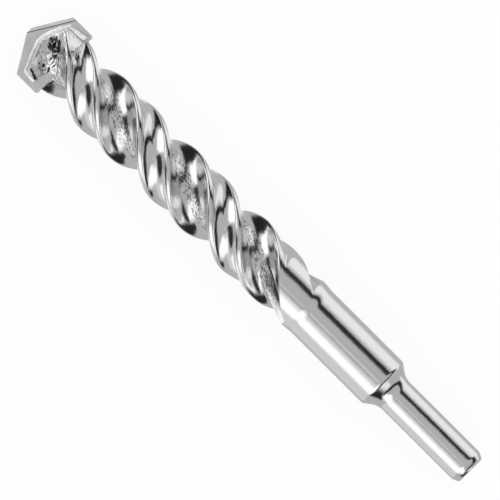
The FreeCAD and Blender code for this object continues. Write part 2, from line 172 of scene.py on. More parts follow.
@dataclass(frozen=True)
class PlatedRolledSteel:
    """Nickel-plated roll-forged alloy steel: a bright mirror, broken up where it was forged."""

    name: str = "nickel_plated_rolled_steel"
    sheen: str = "DCDCDD"
    scale_tone: str = "8E8E90"
    polish: float = 0.12
    forged_polish: float = 0.15
    ripple_mm: float = 1.6
    ripple_height_mm: float = 0.03
    # The real grain is a tenth of this, too fine to show, so it is drawn as coarse as it shows.
    grain_mm: float = 0.5
    grain_height_mm: float = 0.018
    flake_mm: float = 0.42
    flake_height_mm: float = 0.026
    flake_level: float = 0.85
    stained: tuple[float, float] = (0.14, 0.36)
    drawn_out: float = 0.4
    # Painted dark reflections on the head: this tone, speckled by the flakes, is painted into the colour
    # where the darkening attribute is 1.
    painted_dark_tone: str = "343436"
    dark_speckle_gain: float = 2.6
    painted_darkening: tuple[float, float] = (0.25, 0.95)

    def make(self) -> bpy.types.Material:
        """Build the material.

        Returns:
            The finished material. The eye gets sharp bright and dark bands on turned
            surfaces, whose edges waver a little, and a broken, scaly sparkle that follows
            the flutes where the attribute "forged" is 1. It is painted dark, in speckles,
            where its darkening attribute is 1: painted dark reflections on the head.
        """
        material, tree = blank_material(self.name)
        along = node(tree, "ShaderNodeAttribute", attribute_name="untwisted").outputs["Vector"]
        forged = node(tree, "ShaderNodeAttribute", attribute_name="forged").outputs["Fac"]
        drawn = node(tree, "ShaderNodeMapping", {
            "Vector": along, "Scale": (self.drawn_out, 1, 1)})
        ripple = node(tree, "ShaderNodeTexNoise", {
            "Vector": drawn.outputs["Vector"], "Scale": 1 / self.ripple_mm,
            "Detail": 3.0, "Roughness": 0.6})
        grain = node(tree, "ShaderNodeTexNoise", {
            "Vector": along, "Scale": 1 / self.grain_mm, "Detail": 3.0, "Roughness": 0.6})
        flakes = node(tree, "ShaderNodeTexVoronoi", {
            "Vector": drawn.outputs["Vector"], "Scale": 1 / self.flake_mm}, feature="F1")
        pitted = node(tree, "ShaderNodeMath", {0: flakes.outputs["Distance"],
                                               1: grain.outputs["Fac"]}, operation="ADD")
        level = node(tree, "ShaderNodeMath", {0: pitted.outputs[0], 1: self.flake_level},
                     operation="SUBTRACT")
        scaly = node(tree, "ShaderNodeMath", {0: level.outputs[0], 1: forged},
                     operation="MULTIPLY")
        ripple_bump = node(tree, "ShaderNodeBump", {
            "Height": ripple.outputs["Fac"], "Strength": 1.0,
            "Distance": self.ripple_height_mm * MM})
        grain_bump = node(tree, "ShaderNodeBump", {
            "Height": grain.outputs["Fac"], "Strength": 1.0,
            "Distance": self.grain_height_mm * MM,
            "Normal": ripple_bump.outputs["Normal"]})
        scale_bump = node(tree, "ShaderNodeBump", {
            "Height": scaly.outputs[0], "Strength": 1.0,
            "Distance": self.flake_height_mm * MM,
            "Normal": grain_bump.outputs["Normal"]})
        polish = node(tree, "ShaderNodeMapRange", {
            "Value": forged, "To Min": self.polish, "To Max": self.forged_polish})
        stain = node(tree, "ShaderNodeMapRange", {
            "Value": scaly.outputs[0], "From Min": self.stained[0], "From Max": self.stained[1]})
        tone = node(tree, "ShaderNodeMix", {
            "Factor": stain.outputs["Result"], "A": linear(self.sheen),
            "B": linear(self.scale_tone)}, data_type="RGBA")
        # Painted dark reflection: where the darkening attribute is 1, the colour goes to the dark tone,
        # speckled by the flakes.
        painted_dark = node(tree, "ShaderNodeAttribute", attribute_name="painted_dark").outputs["Fac"]
        speckle_factor = node(tree, "ShaderNodeMath", {
            0: level.outputs[0], 1: self.dark_speckle_gain, 2: 1.0}, operation="MULTIPLY_ADD")
        speckled = node(tree, "ShaderNodeMath", {0: painted_dark, 1: speckle_factor.outputs[0]},
                        operation="MULTIPLY")
        darkened = node(tree, "ShaderNodeMapRange", {
            "Value": speckled.outputs[0],
            "From Min": self.painted_darkening[0], "From Max": self.painted_darkening[1]})
        painted_darkening = node(tree, "ShaderNodeMix", {
            "Factor": darkened.outputs["Result"], "A": tone.outputs["Result"],
            "B": linear(self.painted_dark_tone)}, data_type="RGBA")
        shader = node(tree, "ShaderNodeBsdfPrincipled", {
            "Base Color": painted_darkening.outputs["Result"], "Metallic": 1.0,
            "Roughness": polish.outputs["Result"], "Normal": scale_bump.outputs["Normal"]})
        node(tree, "ShaderNodeOutputMaterial", {"Surface": shader.outputs["BSDF"]})
        return material


@dataclass(frozen=True)
class SinteredCarbide:
    """Sintered tungsten carbide, diamond-ground: a dull even grey with fine grinding lines."""

    name: str = "ground_tungsten_carbide"
    face: str = "C8C8C9"
    dark_grain: str = "B2B2B4"
    metal: float = 0.35
    roughness: float = 0.48
    # Real grains and grinding lines are microns wide; both are drawn as coarse as they show.
    grain_mm: float = 0.35
    grind_line_mm: float = 0.25
    grind_line_height_mm: float = 0.03
    clouds_per_metre: float = 220.0
    lay: tuple[float, float, float] = (1000, 60, 1000)
    shade: tuple[float, float] = (0.12, 0.42)

    def make(self) -> bpy.types.Material:
        """Build the material.

        Returns:
            The finished material, matte with a faint grain and grinding lines.
        """
        material, tree = blank_material(self.name)
        where = node(tree, "ShaderNodeTexCoord").outputs["Object"]
        grain = node(tree, "ShaderNodeTexNoise", {
            "Vector": where, "Scale": 1000 / self.grain_mm, "Detail": 4.0, "Roughness": 0.6})
        clouds = node(tree, "ShaderNodeTexNoise", {
            "Vector": where, "Scale": self.clouds_per_metre, "Detail": 2.0})
        lay = node(tree, "ShaderNodeMapping", {"Vector": where, "Scale": self.lay})
        lines = node(tree, "ShaderNodeTexNoise", {
            "Vector": lay.outputs["Vector"], "Scale": 1 / self.grind_line_mm, "Detail": 2.0})
        blend = node(tree, "ShaderNodeMath", {0: grain.outputs["Fac"], 1: clouds.outputs["Fac"]},
                     operation="MULTIPLY")
        shade = node(tree, "ShaderNodeMapRange", {
            "Value": blend.outputs[0], "From Min": self.shade[0], "From Max": self.shade[1]})
        tone = node(tree, "ShaderNodeMix", {
            "Factor": shade.outputs["Result"], "A": linear(self.dark_grain),
            "B": linear(self.face)}, data_type="RGBA")
        bump = node(tree, "ShaderNodeBump", {
            "Height": lines.outputs["Fac"], "Strength": 0.25,
            "Distance": self.grind_line_height_mm * MM})
        shader = node(tree, "ShaderNodeBsdfPrincipled", {
            "Base Color": tone.outputs["Result"], "Metallic": self.metal,
            "Roughness": self.roughness, "Normal": bump.outputs["Normal"]})
        node(tree, "ShaderNodeOutputMaterial", {"Surface": shader.outputs["BSDF"]})
        return material


@dataclass(frozen=True)
class SilverBraze:
    """Silver braze as it flowed: a bright, slightly lumpy bead with dull flux stains, and a dark line
    painted along its outer edge.
    """

    name: str = "flowed_silver_braze"
    bright: str = "D8D8D6"
    stain: str = "8E8E8C"
    lump_mm: float = 0.8
    relief_mm: float = 0.2
    metal: float = 1.0
    roughness: float = 0.3
    stained: tuple[float, float] = (0.45, 0.7)
    # The tone of the dark line painted along the fillet's outer edge.
    painted_dark_tone: str = "2C2C2E"

    def make(self) -> bpy.types.Material:
        """Build the material.

        Returns:
            The finished material, a bright metal with dull stains and soft lumps, painted
            dark where its darkening attribute is 1, a dark line along the fillet's outer edge.
        """
        material, tree = blank_material(self.name)
        where = node(tree, "ShaderNodeTexCoord").outputs["Object"]
        lumps = node(tree, "ShaderNodeTexNoise", {
            "Vector": where, "Scale": 1000 / self.lump_mm, "Detail": 3.0})
        stains = node(tree, "ShaderNodeMapRange", {
            "Value": lumps.outputs["Fac"],
            "From Min": self.stained[0], "From Max": self.stained[1]})
        tone = node(tree, "ShaderNodeMix", {
            "Factor": stains.outputs["Result"], "A": linear(self.bright),
            "B": linear(self.stain)}, data_type="RGBA")
        # A dark line is painted where the darkening attribute is 1.
        painted_dark = node(tree, "ShaderNodeAttribute", attribute_name="painted_dark").outputs["Fac"]
        rim = node(tree, "ShaderNodeMix", {
            "Factor": painted_dark, "A": tone.outputs["Result"], "B": linear(self.painted_dark_tone)},
            data_type="RGBA")
        bump = node(tree, "ShaderNodeBump", {
            "Height": lumps.outputs["Fac"], "Strength": 0.5, "Distance": self.relief_mm * MM})
        shader = node(tree, "ShaderNodeBsdfPrincipled", {
            "Base Color": rim.outputs["Result"], "Metallic": self.metal,
            "Roughness": self.roughness,
            "Normal": bump.outputs["Normal"]})
        node(tree, "ShaderNodeOutputMaterial", {"Surface": shader.outputs["BSDF"]})
        return material


# the bit


class FluteKind(Enum):
    """The two widths of flute: the wide ones carry the dust, the narrow ones lie between."""

    WIDE = "wide"
    NARROW = "narrow"


@dataclass(frozen=True)
class RunOut:
    """Where a flute's floor leaves the cut on a turned curve, towards the head or the shank."""

    start: float
    radius: float
    towards_head: bool
    sink: float = 0.25

    def level(self, floor: float, station: float) -> float:
        """Read the turned metal's distance from the axis.

        Args:
            floor: the flute's floor, millimetres from the axis.
            station: place along the axis, millimetres.

        Returns:
            That distance in millimetres, or 0 where the flute is still cut full.
        """
        run = station - self.start if self.towards_head else self.start - station
        if run <= 0:
            return 0.0
        if run >= self.radius:
            return math.inf
        return floor - self.sink + self.radius - math.sqrt(self.radius ** 2 - run ** 2)


@dataclass(frozen=True)
class Flute:
    """One flute's section and how it ends; millimetres and degrees."""

    kind: FluteKind
    centre: float
    half_angle: float
    floor: float
    floor_radius: float
    run_outs: tuple[RunOut, ...]
    corner_tolerance: float = 0.02
    slope_step: float = 0.3
    run_out_blend: float = 0.3
    run_out_ceiling: float = 50.0

    def corner(self, outer: float, station: float) -> tuple[float, float]:
        """Find where the floor comes out at the land and how sharp that corner is.

        Args:
            outer: the land's radius, millimetres.
            station: place along the axis, millimetres.

        Returns:
            The corner's angle from the flute's middle in degrees, and the angle in radians
            that the surface turns through there; both 0 where there is no flute.
        """
        if self.height(0.0, station) >= outer:
            return 0.0, 0.0
        inside, beyond = 0.0, self.half_angle
        if self.height(beyond, station) < outer:
            inside = beyond
        while beyond - inside > self.corner_tolerance:
            middle = (inside + beyond) / 2
            if self.height(middle, station) < outer:
                inside = middle
            else:
                beyond = middle
        before = self.height(inside - self.slope_step, station)
        rise = self.height(inside, station) - before
        return inside, math.atan2(rise, math.radians(self.slope_step) * outer)

    def height(self, off_centre: float, station: float) -> float:
        """Read the floor's distance from the axis.

        Args:
            off_centre: angle from the flute's middle, degrees.
            station: place along the axis, millimetres.

        Returns:
            Distance from the axis, millimetres.
        """
        middle = self.floor + self.floor_radius
        angle = math.radians(off_centre)
        inside = self.floor_radius ** 2 - (middle * math.sin(angle)) ** 2
        height = middle * math.cos(angle) - math.sqrt(max(inside, 0.0))
        for run_out in self.run_outs:
            level = run_out.level(self.floor, station)
            turned = min(level, self.run_out_ceiling)
            height = -soft_min(-height, -turned, self.run_out_blend)
        return height


@dataclass(frozen=True)
class PaintedDarkStreak:
    """A dark streak painted on the head, a painted dark reflection: a line in plan and its reach."""

    path: tuple[tuple[float, float], ...]
    reach: float
    core: float = 0.35

    def strength(self, x: float, y: float) -> float:
        """Read how dark the streak is at a place in plan.

        Args:
            x: place along the axis, millimetres.
            y: place across it, millimetres.

        Returns:
            A number from 0 to 1.
        """
        spot, nearest = Vector((x, y)), math.inf
        for first, second in zip(self.path, self.path[1:]):
            start, run = Vector(first), Vector(second) - Vector(first)
            share = min(1.0, max(0.0, (spot - start).dot(run) / run.length_squared))
            nearest = min(nearest, (spot - start - run * share).length)
        return 1 - smooth(self.core * self.reach, self.reach, nearest)


@dataclass
class SteelBody:
    """Shank, plain bar, four-land twist and slotted head, turned and rolled from one bar."""

    finish: PlatedRolledSteel
    lead: float = 66.0
    first_land_up: float = 186.96
    land_half: float = 7.1
    land_round: float = 0.6
    land_crown: float = 4.0
    edge_steps: tuple[float, ...] = (
        0.62, 0.44, 0.34, 0.24, 0.12, 0.0, -0.15, -0.35, -0.65, -1.05, -1.6, -2.3, -3.2)
    twist_from: float = 73.0
    cone_tip: float = 202.0
    cone_half_angle: float = 63.0
    slot_half: float = 2.72
    slot_rear: float = 188.4
    profile: tuple[tuple[float, float], ...] = (
        (0.0, 4.9), (0.25, 5.35), (1.0, 5.75), (2.2, 6.28), (2.6, 6.35))
    shoulder: tuple[float, float] = (34.4, 40.9)
    shank: float = 6.35
    bar: float = 9.525
    shoulder_slope: float = 36.6
    shoulder_fillet: float = 6.5
    shoulder_rim: float = 0.35
    envelope_line: tuple[tuple[float, float], ...] = (
        (73.6, 9.525), (77.2, 9.85))
    taper_end: float = 105.0
    land: float = 11.1
    flutes: tuple[Flute, ...] = field(default_factory=lambda: (
        Flute(kind=FluteKind.NARROW, centre=36.5, half_angle=29.15, floor=8.9, floor_radius=20.0,
              run_outs=(RunOut(start=99.5, radius=24.0, towards_head=False),
                        RunOut(start=184.6, radius=7.0, towards_head=True))),
        Flute(kind=FluteKind.WIDE, centre=126.5, half_angle=46.75, floor=5.1, floor_radius=14.5,
              run_outs=(RunOut(start=106.0, radius=80.0, towards_head=False),)),
    ))
    crown_fade: tuple[float, float] = (84.0, 100.0)
    skin_fade: tuple[float, float] = (76.0, 82.0)
    skin_spread: tuple[float, float] = (0.80, 1.35)
    skin_edge: float = 0.44
    spread_fade: tuple[float, float] = (182.5, 186.5)
    narrow_skin: float = 0.55
    narrow_skin_fade: tuple[float, float] = (183.0, 188.0)
    narrow_skin_edge: tuple[float, float] = (20.0, 29.0)
    head_skin: float = 0.6
    head_skin_fade: tuple[float, float] = (183.0, 187.0)
    cone_blend: float = 0.18
    cone_near: float = 0.5
    cone_skin: float = 0.6
    tip_radius: float = 0.02
    pit_fade: tuple[float, float] = (182.5, 186.0)
    pit_depth: float = 0.26
    pit_edge: tuple[float, float] = (0.02, 0.40)
    swell: float = 0.30
    swell_rate: float = 0.3
    pit_rate: float = 0.5
    pit_level: float = 0.8
    lump_height: float = 0.025
    lump_rate: float = 0.62
    fine_height: float = 0.012
    fine_rate: float = 2.1
    rolled_out: float = 0.45
    line_spacing: float = 1.8
    ring_spans: tuple[tuple[float, float, int], ...] = (
        (3.2, 34.1, 6), (34.4, 41.8, 26), (42.4, 72.6, 8), (73.0, 79.0, 15), (79.4, 185.9, 172),
        (186.3, 199.6, 60), (199.8, 201.99, 7))
    # Painted dark reflections: streaks painted dark into the head's colour, on its upper side from this
    # station on.
    painted_streaks_from: float = 182.0
    painted_streaks: tuple[PaintedDarkStreak, ...] = (
        PaintedDarkStreak(path=((197.2, -3.6), (196.0, -1.4)), reach=1.9),
        PaintedDarkStreak(path=((195.4, -4.4), (193.2, -2.0)), reach=0.7),
        PaintedDarkStreak(path=((193.6, 4.7), (193.2, 5.2)), reach=0.65),
        PaintedDarkStreak(path=((191.6, 4.3), (190.7, 5.6), (189.9, 6.8)), reach=0.6),
        PaintedDarkStreak(path=((195.4, 8.7), (193.6, 9.4), (191.9, 10.0), (190.8, 8.9)), reach=0.6),
    )
    corners: dict[tuple[FluteKind, float], tuple[float, float]] = field(default_factory=dict)

    def turned(self, x: float) -> float:
        """Read the turned outline's radius at one station, without the flutes.

        Args:
            x: place along the axis, millimetres.

        Returns:
            The radius, millimetres.
        """
        if x <= self.profile[-1][0]:
            for (x0, r0), (x1, r1) in zip(self.profile, self.profile[1:]):
                if x <= x1:
                    return mix(r0, r1, (x - x0) / (x1 - x0))
        slope = math.tan(math.radians(self.shoulder_slope))
        if x < self.twist_from:
            cone = self.bar - (self.shoulder[1] - x) * slope
            tangent = self.shoulder_fillet * math.tan(math.radians(self.shoulder_slope / 2))
            foot = self.shoulder[1] - (self.bar - self.shank) / slope
            start = foot - tangent
            end = foot + tangent * math.cos(math.radians(self.shoulder_slope))
            if x <= start:
                return self.shank
            if x <= end:
                run = x - start
                rise = self.shoulder_fillet - math.sqrt(self.shoulder_fillet ** 2 - run * run)
                return self.shank + rise
            return soft_min(cone, self.bar, self.shoulder_rim)
        if x < self.envelope_line[-1][0]:
            return track(((self.twist_from, self.bar),) + self.envelope_line, x)
        start, low = self.envelope_line[-1]
        if x < self.taper_end:
            return mix(low, self.land, (x - start) / (self.taper_end - start))
        return self.land

    def corner(self, flute: Flute, x: float) -> tuple[float, float]:
        """Keep one station's corners, which every angle there asks for."""
        key = (flute.kind, x)
        if key not in self.corners:
            self.corners[key] = flute.corner(self.turned(x), x)
        return self.corners[key]

    def crown(self, x: float, angle: float) -> float:
        """Read how far the rolled land falls away beside its middle.

        Args:
            x: place along the axis, millimetres.
            angle: degrees round the axis from the first land.

        Returns:
            The fall, millimetres.
        """
        off = abs((angle - self.flutes[0].centre + 90) % 180 - 90) - self.flutes[0].centre
        aside = math.radians(min(abs(off), self.land_half)) * self.land
        return aside ** 2 / (2 * self.land_crown) * smooth(*self.crown_fade, x)

    def radius(self, x: float, angle: float) -> tuple[float, float]:
        """Read the steel's surface.

        Args:
            x: place along the axis, millimetres.
            angle: degrees round the axis from the first land.

        Returns:
            The radius in millimetres, and how forged the surface is there, 0 to 1.
        """
        outer = self.turned(x)
        value, forged = outer, 0.0
        if x > self.twist_from:
            value -= self.crown(x, angle)
            for flute in self.flutes:
                off = abs((angle - flute.centre + 90) % 180 - 90)
                edge, turn = self.corner(flute, x)
                reach = self.land_round * math.tan(turn / 2)
                beyond = math.radians(off - edge) * outer
                if edge == 0.0 or beyond >= reach:
                    continue
                if beyond > -reach * math.cos(turn):
                    run = reach - beyond
                    left = math.sqrt(max(self.land_round ** 2 - run ** 2, 0.0))
                    value -= self.land_round - left
                else:
                    value = min(value, flute.height(off, x))
                if flute.kind is FluteKind.WIDE:
                    spread = mix(*self.skin_spread, smooth(*self.spread_fade, x))
                    middle = 1 - smooth(spread - self.skin_edge, spread, off / flute.half_angle)
                    forged = middle * smooth(*self.skin_fade, x)
        between = abs((angle - self.flutes[0].centre + 90) % 180 - 90)
        if x > self.narrow_skin_fade[0] and between < self.flutes[0].half_angle:
            forged = self.narrow_skin * smooth(*self.narrow_skin_fade, x)
            forged *= 1 - smooth(*self.narrow_skin_edge, between)
        cone = (self.cone_tip - x) * math.tan(math.radians(self.cone_half_angle))
        if cone < value + self.cone_near:
            value = max(soft_min(value, cone, self.cone_blend), self.tip_radius)
            forged *= smooth(0.0, self.cone_skin, cone - value)
        return value, forged * mix(1.0, self.head_skin, smooth(*self.head_skin_fade, x))

    def roughen(self, x: float, angle: float, radius: float, forged: float) -> float:
        """Give the forged skin its hollows and lumps.

        Args:
            x: place along the axis, millimetres.
            angle: degrees round the axis from the first land.
            radius: the smooth surface there, millimetres.
            forged: how forged the surface is, 0 to 1.

        Returns:
            The change of radius, millimetres.
        """
        if forged < 0.02:
            return 0.0
        turn = math.radians(angle)
        along = Vector((x * self.rolled_out, radius * math.cos(turn), radius * math.sin(turn)))
        lumps = noise.fractal(along * self.lump_rate, 0.9, 2.1, 4)
        fine = noise.fractal(along * self.fine_rate + Vector((7, 3, 1)), 0.8, 2.0, 3)
        change = self.lump_height * lumps + self.fine_height * fine
        head = smooth(*self.pit_fade, x)
        if head > 0.0:
            at = Vector((x, radius * math.cos(turn), radius * math.sin(turn)))
            cells = noise.voronoi(at * self.pit_rate)[0]
            rim = smooth(*self.pit_edge, cells[1] - cells[0])
            change += head * self.pit_depth * (rim - self.pit_level)
            change += head * self.swell * noise.noise(at * self.swell_rate)
        return forged * change

    def stations(self) -> list[float]:
        """List the rings' places along the axis, closer where the form changes.

        Returns:
            Rising places, millimetres.
        """
        places = [x for x, _ in self.profile]
        for start, end, steps in self.ring_spans:
            places += [mix(start, end, i / steps) for i in range(steps + 1)]
        return sorted(set(round(x, 4) for x in places))

    def angles(self) -> list[float]:
        """List the lines' places round the axis, closer at the lands' edges.

        Returns:
            Rising angles from the first land, degrees.
        """
        places: list[float] = []
        for start in (0.0, 180.0):
            for flute in self.flutes:
                low = start + flute.centre - flute.half_angle
                high = start + flute.centre + flute.half_angle
                inner = round((high - low - 2) / self.line_spacing)
                places += [mix(low + 1, high - 1, i / inner) for i in range(inner + 1)]
                for side, sign in ((low, 1), (high, -1)):
                    places += [side + sign * k for k in self.edge_steps]
                middle = start + flute.centre + flute.half_angle + self.land_half
                places += [middle - 2.0, middle, middle + 2.0]
        return sorted(set(round(a % 360, 3) for a in places))

    def place(self, x: float, angle: float, radius: float) -> Vector:
        """Turn a station, an angle from the first land and a radius into a point, metres."""
        turn = 90 + 360 * (max(x, self.twist_from) - self.first_land_up) / self.lead + angle
        round_axis = math.radians(turn)
        return Vector((x, radius * math.cos(round_axis), radius * math.sin(round_axis))) * MM

    def build(self) -> bpy.types.Object:
        """Build the body's mesh and cut the plate's slot.

        Returns:
            The steel body's object.
        """
        xs, angles = self.stations(), self.angles()
        vertices, forged, straight, painted_dark, faces = [], [], [], [], []
        for x in xs:
            for angle in angles:
                radius, rough = self.radius(x, angle)
                radius += self.roughen(x, angle, radius, rough)
                spot = self.place(x, angle, radius)
                vertices.append(spot)
                # Painted dark reflection: a vertex on the head's upper side takes the darkest of the
                # painted streaks.
                darkened = x > self.painted_streaks_from and spot.z > 0
                painted_dark.append(max(painted_streak.strength(x, spot.y / MM) for painted_streak in self.painted_streaks)
                            if darkened else 0.0)
                forged.append(rough)
                turn = math.radians(angle)
                straight += (x, radius * math.cos(turn), radius * math.sin(turn))
        count = len(angles)
        for ring in range(len(xs) - 1):
            for k in range(count):
                a, b = ring * count + k, ring * count + (k + 1) % count
                faces.append((a, b, b + count, a + count))
        faces.append(tuple(reversed(range(count))))
        last = (len(xs) - 1) * count
        faces.append(tuple(range(last, last + count)))
        mesh = bpy.data.meshes.new("steel_body")
        mesh.from_pydata(vertices, [], faces)
        attribute = mesh.attributes.new("forged", "FLOAT", "POINT")
        attribute.data.foreach_set("value", forged)
        mesh.attributes.new("painted_dark", "FLOAT", "POINT").data.foreach_set("value", painted_dark)
        untwisted = mesh.attributes.new("untwisted", "FLOAT_VECTOR", "POINT")
        untwisted.data.foreach_set("vector", straight)
        mesh.validate()
        body = bpy.data.objects.new("steel_body", mesh)
        bpy.context.scene.collection.objects.link(body)
        for polygon in mesh.polygons:
            polygon.use_smooth = len(polygon.vertices) == 4
        self.cut_slot(body)
        body.data.materials.append(self.finish.make())
        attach(body, "root")
        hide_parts("drill_body")
        return body

    def cut_slot(self, body: bpy.types.Object) -> None:
        """Cut the slot that the plate is brazed in.

        Args:
            body: the steel body, whose mesh is replaced by the slotted one.
        """
        low = Vector((self.slot_rear, -20.0, -self.slot_half)) * MM
        high = Vector((215.0, 20.0, self.slot_half)) * MM
        form = bmesh.new()
        bmesh.ops.create_cube(form, size=1.0, matrix=Matrix.LocRotScale(
            (low + high) / 2, None, high - low))
        mesh = bpy.data.meshes.new("slot_form")
        form.to_mesh(mesh)
        form.free()
        cutter = bpy.data.objects.new("slot_form", mesh)
        bpy.context.scene.collection.objects.link(cutter)
        cut = body.modifiers.new("slot", "BOOLEAN")
        cut.operation, cut.solver, cut.object = "DIFFERENCE", "EXACT", cutter
        bpy.context.view_layer.update()
        shaped = bpy.data.meshes.new_from_object(body.evaluated_get(
            bpy.context.evaluated_depsgraph_get()))
        body.modifiers.clear()
        body.data = shaped
        bpy.data.objects.remove(cutter)


@dataclass
class CarbidePlate:
    """The cutting plate: a flat slab with a roof-ground point, each flank relieved behind its edge."""

    finish: SinteredCarbide
    rear: float = 188.5
    apex: float = 205.0
    half_width: float = 13.2
    half_thickness: float = 2.7
    point_half_angle: float = 59.0
    relief: float = 13.5
    rear_chamfer: float = 0.5
    edge_break: float = 0.07
    arris: float = 0.26
    # Painted dark reflection: the rounded arris between face and flank gets a dark, near-metallic colour,
    # so that it shows as the dark line the edge reflects.
    arris_painted_dark: SinteredCarbide = SinteredCarbide(
        name="carbide_arris_painted_dark", face="5C5C5E", dark_grain="505052", metal=0.8, roughness=0.3)

    def is_arris(self, edge: bmesh.types.BMEdge) -> bool:
        """Tell whether an edge is one of the two blunt ones, where a flank meets a face."""
        middle = (edge.verts[0].co + edge.verts[1].co) / 2
        normals = sorted((face.normal for face in edge.link_faces), key=lambda n: abs(n.z))
        return middle.y * middle.z < 0 and normals[0].x > 0.4 and abs(normals[1].z) > 0.9

    def build(self) -> bpy.types.Object:
        """Grind the plate from a block.

        Returns:
            The plate's object.
        """
        form = bmesh.new()
        low = Vector((self.rear, -self.half_width, -self.half_thickness)) * MM
        high = Vector((self.apex + 3.0, self.half_width, self.half_thickness)) * MM
        bmesh.ops.create_cube(form, size=1.0, matrix=Matrix.LocRotScale(
            (low + high) / 2, None, high - low))
        fall = 1 / math.tan(math.radians(self.point_half_angle))
        clear = math.tan(math.radians(self.relief))
        corner = (self.rear, self.half_width - self.rear_chamfer)
        planes = [
            (Vector((self.apex, 0, 0)), Vector((1, fall, -clear))),
            (Vector((self.apex, 0, 0)), Vector((1, -fall, clear))),
            (Vector((corner[0], corner[1], 0)), Vector((-1, 1, 0))),
            (Vector((corner[0], -corner[1], 0)), Vector((-1, -1, 0))),
        ]
        for point, normal in planes:
            cut = bmesh.ops.bisect_plane(
                form, geom=form.verts[:] + form.edges[:] + form.faces[:],
                plane_co=point * MM, plane_no=normal.normalized(), clear_outer=True)
            edges = [e for e in cut["geom_cut"] if isinstance(e, bmesh.types.BMEdge)]
            bmesh.ops.contextual_create(form, geom=edges)
        bmesh.ops.recalc_face_normals(form, faces=form.faces[:])
        rounded = bmesh.ops.bevel(
            form, geom=[e for e in form.edges if self.is_arris(e)], offset=self.arris * MM,
            segments=2, profile=0.5, affect="EDGES")
        # The rounded arris faces take the painted dark reflection.
        for face in rounded["faces"]:
            face.material_index = 1
        sharp = [e for e in form.edges if e.is_manifold and e.calc_face_angle() > 0.7]
        bmesh.ops.bevel(form, geom=sharp, offset=self.edge_break * MM, segments=1,
                        profile=0.6, affect="EDGES")
        mesh = bpy.data.meshes.new("carbide_plate")
        form.to_mesh(mesh)
        form.free()
        plate = bpy.data.objects.new("carbide_plate", mesh)
        bpy.context.scene.collection.objects.link(plate)
        plate.data.materials.append(self.finish.make())
        plate.data.materials.append(self.arris_painted_dark.make())
        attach(plate, "root")
        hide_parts("carbide_tip")
        return plate


